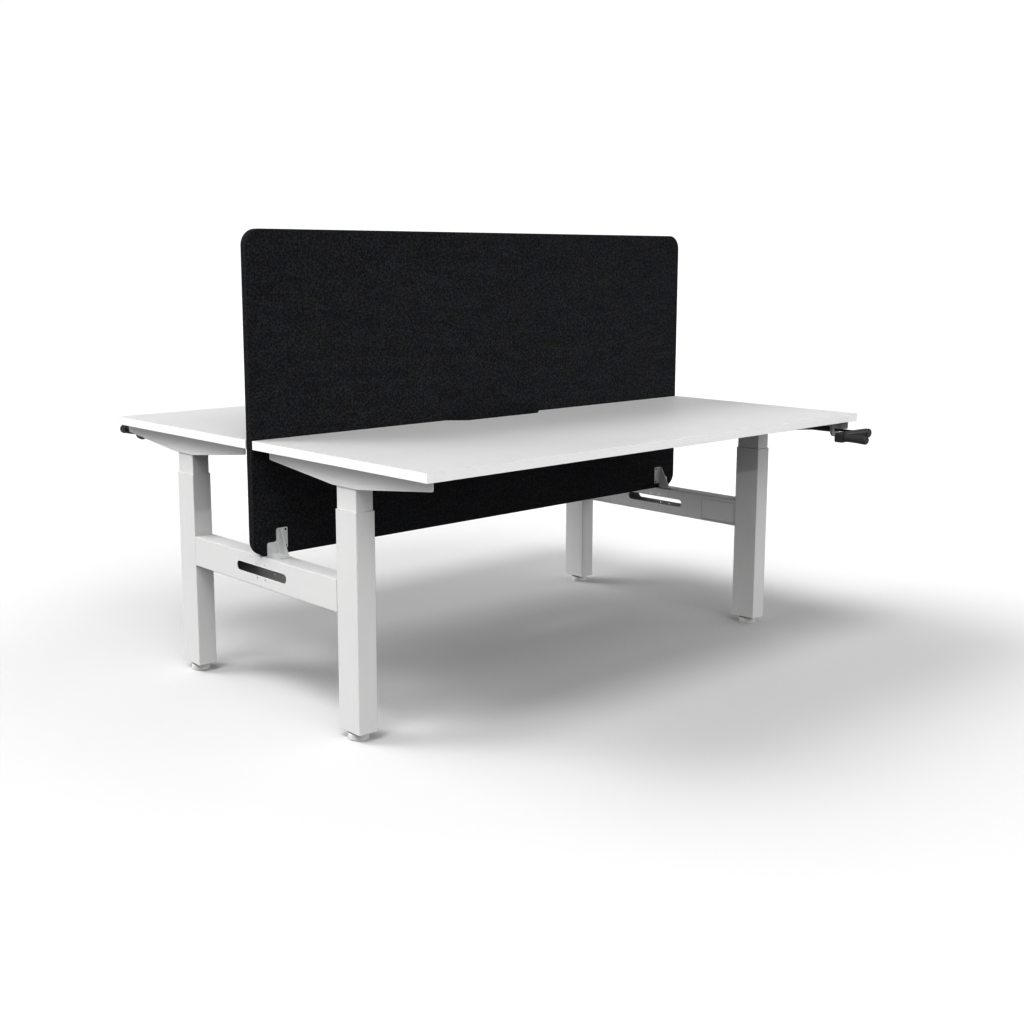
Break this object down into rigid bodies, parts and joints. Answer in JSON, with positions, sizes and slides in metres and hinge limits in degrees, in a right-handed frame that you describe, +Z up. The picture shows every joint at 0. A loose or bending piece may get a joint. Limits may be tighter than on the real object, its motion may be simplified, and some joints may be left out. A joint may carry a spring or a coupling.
{
  "type": "two-person benching desk",
  "caption": "Back-to-back benching desk: white worktops lifted by hand cranks on telescopic legs, slotted end beams and a shared dark felt screen held by brackets.",
  "frame": {"origin": "on the floor, in the middle of the desk, under the screen", "axes": "+X along the length of the worktops to the right of the front user, -Y towards the front user, +Z up"},
  "size_m": [1.8, 1.764, 1.3265],
  "materials": {
    "white_powder_coat": "gloss powder coat",
    "white_laminate": "satin melamine face with matching edge band on chipboard",
    "dark_felt": "pressed wool felt over a stiff core",
    "silver_sheet": "silver-grey satin coat on bent sheet",
    "black_plastic": "fine-textured moulding",
    "white_nylon": "satin moulding",
    "bright_steel": "drawn and rolled steel",
    "dark_steel": "black oxide",
    "die_cast_housing": "as cast",
    "grey_bearing": "grey satin coat"
  },
  "bodies": {
    "base_frame": {"front_left_outer_column": "white_powder_coat", "front_left_guide_bush": "white_nylon", "front_left_nut_post": "dark_steel", "front_left_screen_bracket": "silver_sheet", "front_right_outer_column": "white_powder_coat", "front_right_guide_bush": "white_nylon", "front_right_nut_post": "dark_steel", "front_right_screen_bracket": "silver_sheet", "rear_left_outer_column": "white_powder_coat", "rear_left_guide_bush": "white_nylon", "rear_left_nut_post": "dark_steel", "rear_left_screen_bracket": "silver_sheet", "rear_right_outer_column": "white_powder_coat", "rear_right_guide_bush": "white_nylon", "rear_right_nut_post": "dark_steel", "rear_right_screen_bracket": "silver_sheet", "left_end_beam": "white_powder_coat", "left_beam_cover_front": "white_powder_coat", "left_beam_cover_rear": "white_powder_coat", "right_end_beam": "white_powder_coat", "right_beam_cover_front": "white_powder_coat", "right_beam_cover_rear": "white_powder_coat", "felt_screen": "dark_felt"},
    "front_left_foot": {"front_left_glide_foot": "white_nylon"},
    "front_right_foot": {"front_right_glide_foot": "white_nylon"},
    "rear_left_foot": {"rear_left_glide_foot": "white_nylon"},
    "rear_right_foot": {"rear_right_glide_foot": "white_nylon"},
    "front_desk": {"front_worktop": "white_laminate", "front_outer_rail": "white_powder_coat", "front_inner_rail": "white_powder_coat", "front_crank_bearing_plate": "grey_bearing", "front_left_support_arm": "white_powder_coat", "front_left_inner_column": "white_powder_coat", "front_left_gearbox": "die_cast_housing", "front_right_support_arm": "white_powder_coat", "front_right_inner_column": "white_powder_coat", "front_right_gearbox": "die_cast_housing"},
    "front_cross_drive": {"front_cross_shaft": "bright_steel"},
    "front_crank_drive": {"front_crank_shaft": "dark_steel", "front_crank": "black_plastic"},
    "front_grip": {"front_crank_grip": "black_plastic"},
    "front_left_screw": {"front_left_spindle": "bright_steel"},
    "front_right_screw": {"front_right_spindle": "bright_steel"},
    "rear_desk": {"rear_worktop": "white_laminate", "rear_outer_rail": "white_powder_coat", "rear_inner_rail": "white_powder_coat", "rear_crank_bearing_plate": "grey_bearing", "rear_left_support_arm": "white_powder_coat", "rear_left_inner_column": "white_powder_coat", "rear_left_gearbox": "die_cast_housing", "rear_right_support_arm": "white_powder_coat", "rear_right_inner_column": "white_powder_coat", "rear_right_gearbox": "die_cast_housing"},
    "rear_cross_drive": {"rear_cross_shaft": "bright_steel"},
    "rear_crank_drive": {"rear_crank_shaft": "dark_steel", "rear_crank": "black_plastic"},
    "rear_grip": {"rear_crank_grip": "black_plastic"},
    "rear_left_screw": {"rear_left_spindle": "bright_steel"},
    "rear_right_screw": {"rear_right_spindle": "bright_steel"}
  },
  "joints": [
    {"name": "front_left_foot_turn", "type": "hinge", "parent": "base_frame", "child": "front_left_foot", "pos_m": [-0.842, -0.405, 0], "axis": [0, 0, 1], "range_deg": [-1080, 1800]},
    {"name": "front_right_foot_turn", "type": "hinge", "parent": "base_frame", "child": "front_right_foot", "pos_m": [0.842, -0.405, 0], "axis": [0, 0, 1], "range_deg": [-1080, 1800]},
    {"name": "rear_left_foot_turn", "type": "hinge", "parent": "base_frame", "child": "rear_left_foot", "pos_m": [-0.842, 0.405, 0], "axis": [0, 0, 1], "range_deg": [-1080, 1800]},
    {"name": "rear_right_foot_turn", "type": "hinge", "parent": "base_frame", "child": "rear_right_foot", "pos_m": [0.842, 0.405, 0], "axis": [0, 0, 1], "range_deg": [-1080, 1800]},
    {"name": "front_lift", "type": "slide", "parent": "base_frame", "child": "front_desk", "axis": [0, 0, 1], "range_m": [-0.055, 0.345]},
    {"name": "front_cross_shaft_turn", "type": "hinge", "parent": "front_desk", "child": "front_cross_drive", "pos_m": [0, -0.405, 0.703], "axis": [1, 0, 0], "range_deg": [-2480, 15530]},
    {"name": "front_crank_turn", "type": "hinge", "parent": "front_desk", "child": "front_crank_drive", "pos_m": [0.842, -0.775, 0.703], "axis": [0, 1, 0], "range_deg": [-2480, 15530]},
    {"name": "front_grip_spin", "type": "hinge", "parent": "front_crank_drive", "child": "front_grip", "pos_m": [0.774, -0.8035, 0.6895], "axis": [0, 1, 0], "continuous": true},
    {"name": "front_left_screw_turn", "type": "hinge", "parent": "front_desk", "child": "front_left_screw", "pos_m": [-0.842, -0.405, 0.6], "axis": [0, 0, 1], "range_deg": [-15530, 2480]},
    {"name": "front_right_screw_turn", "type": "hinge", "parent": "front_desk", "child": "front_right_screw", "pos_m": [0.842, -0.405, 0.6], "axis": [0, 0, 1], "range_deg": [-15530, 2480]},
    {"name": "rear_lift", "type": "slide", "parent": "base_frame", "child": "rear_desk", "axis": [0, 0, 1], "range_m": [-0.055, 0.345]},
    {"name": "rear_cross_shaft_turn", "type": "hinge", "parent": "rear_desk", "child": "rear_cross_drive", "pos_m": [0, 0.405, 0.703], "axis": [-1, 0, 0], "range_deg": [-2480, 15530]},
    {"name": "rear_crank_turn", "type": "hinge", "parent": "rear_desk", "child": "rear_crank_drive", "pos_m": [-0.842, 0.775, 0.703], "axis": [0, -1, 0], "range_deg": [-2480, 15530]},
    {"name": "rear_grip_spin", "type": "hinge", "parent": "rear_crank_drive", "child": "rear_grip", "pos_m": [-0.774, 0.8035, 0.6895], "axis": [0, -1, 0], "continuous": true},
    {"name": "rear_left_screw_turn", "type": "hinge", "parent": "rear_desk", "child": "rear_left_screw", "pos_m": [-0.842, 0.405, 0.6], "axis": [0, 0, 1], "range_deg": [-15530, 2480]},
    {"name": "rear_right_screw_turn", "type": "hinge", "parent": "rear_desk", "child": "rear_right_screw", "pos_m": [0.842, 0.405, 0.6], "axis": [0, 0, 1], "range_deg": [-15530, 2480]}
  ],
  "couplings": [
    {"joint": "front_cross_shaft_turn", "follows": "front_lift", "rad_per_m": 785.4},
    {"joint": "front_crank_turn", "follows": "front_lift", "rad_per_m": 785.4},
    {"joint": "front_left_screw_turn", "follows": "front_lift", "rad_per_m": -785.4},
    {"joint": "front_right_screw_turn", "follows": "front_lift", "rad_per_m": -785.4},
    {"joint": "rear_cross_shaft_turn", "follows": "rear_lift", "rad_per_m": 785.4},
    {"joint": "rear_crank_turn", "follows": "rear_lift", "rad_per_m": 785.4},
    {"joint": "rear_left_screw_turn", "follows": "rear_lift", "rad_per_m": -785.4},
    {"joint": "rear_right_screw_turn", "follows": "rear_lift", "rad_per_m": -785.4}
  ]
}
